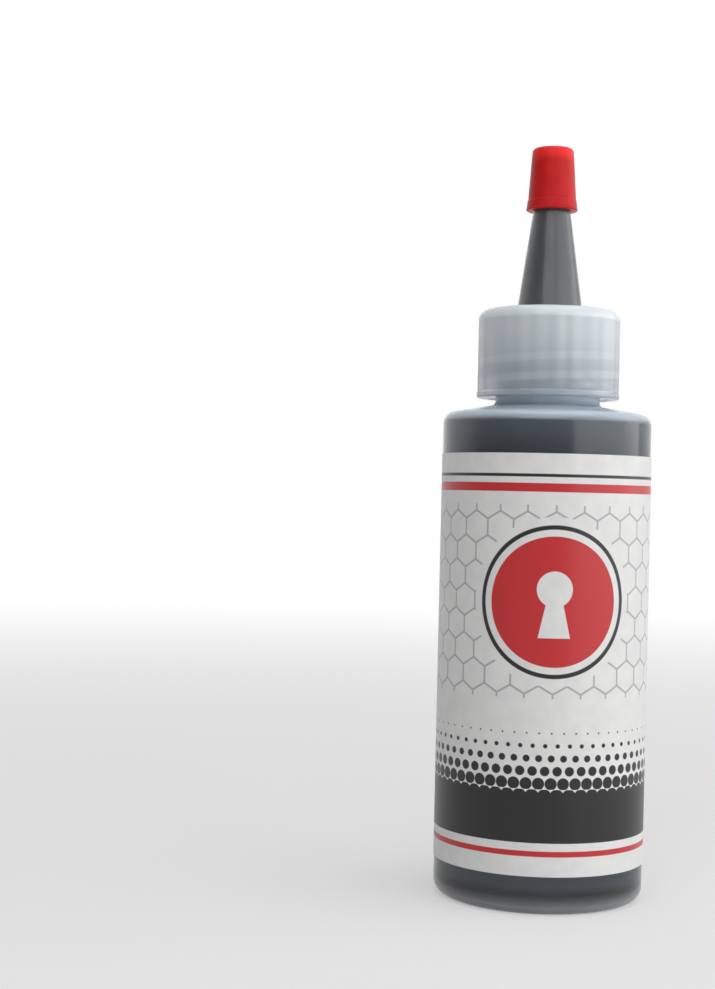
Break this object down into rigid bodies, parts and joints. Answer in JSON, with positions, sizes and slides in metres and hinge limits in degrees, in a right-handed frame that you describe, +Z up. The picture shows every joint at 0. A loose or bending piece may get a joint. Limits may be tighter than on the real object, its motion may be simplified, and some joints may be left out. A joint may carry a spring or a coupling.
{
  "type": "graphite lubricant squeeze bottle",
  "caption": "Round milky squeeze bottle of dry graphite lubricant with a white wrap label, a screw-on cap with a tapered spout, and a red pull-off sealing tip.",
  "frame": {"origin": "middle of the foot ring that the bottle stands on", "axes": "+Z up the bottle to the spout, -Y the front of the label, +X to the right as the label is seen"},
  "size_m": [0.0352, 0.0351, 0.1263],
  "materials": {
    "natural_bottle": "satin",
    "label_paper": "satin",
    "graphite": "matte",
    "natural_cap": "satin",
    "red_tip": "satin"
  },
  "bodies": {
    "bottle": {"squeeze_bottle": "natural_bottle", "wrap_label": "label_paper", "graphite_powder": "graphite", "neck_dust": "graphite"},
    "spout_powder": {"spout_dust": "graphite"},
    "cap": {"spout_cap": "natural_cap"},
    "tip": {"sealing_tip": "red_tip"}
  },
  "joints": [
    {"name": "cap_lift", "type": "slide", "parent": "bottle", "child": "spout_powder", "axis": [0, 0, 1], "range_m": [0, 0.004]},
    {"name": "cap_turn", "type": "hinge", "parent": "spout_powder", "child": "cap", "pos_m": [0, 0, 0.0906], "axis": [0, 0, 1], "range_deg": [0, 450]},
    {"name": "tip_pull", "type": "slide", "parent": "cap", "child": "tip", "axis": [0, 0, 1], "range_m": [0, 0.015]}
  ],
  "couplings": [
    {"joint": "cap_lift", "follows": "cap_turn", "m_per_rad": 0.00050532}
  ]
}
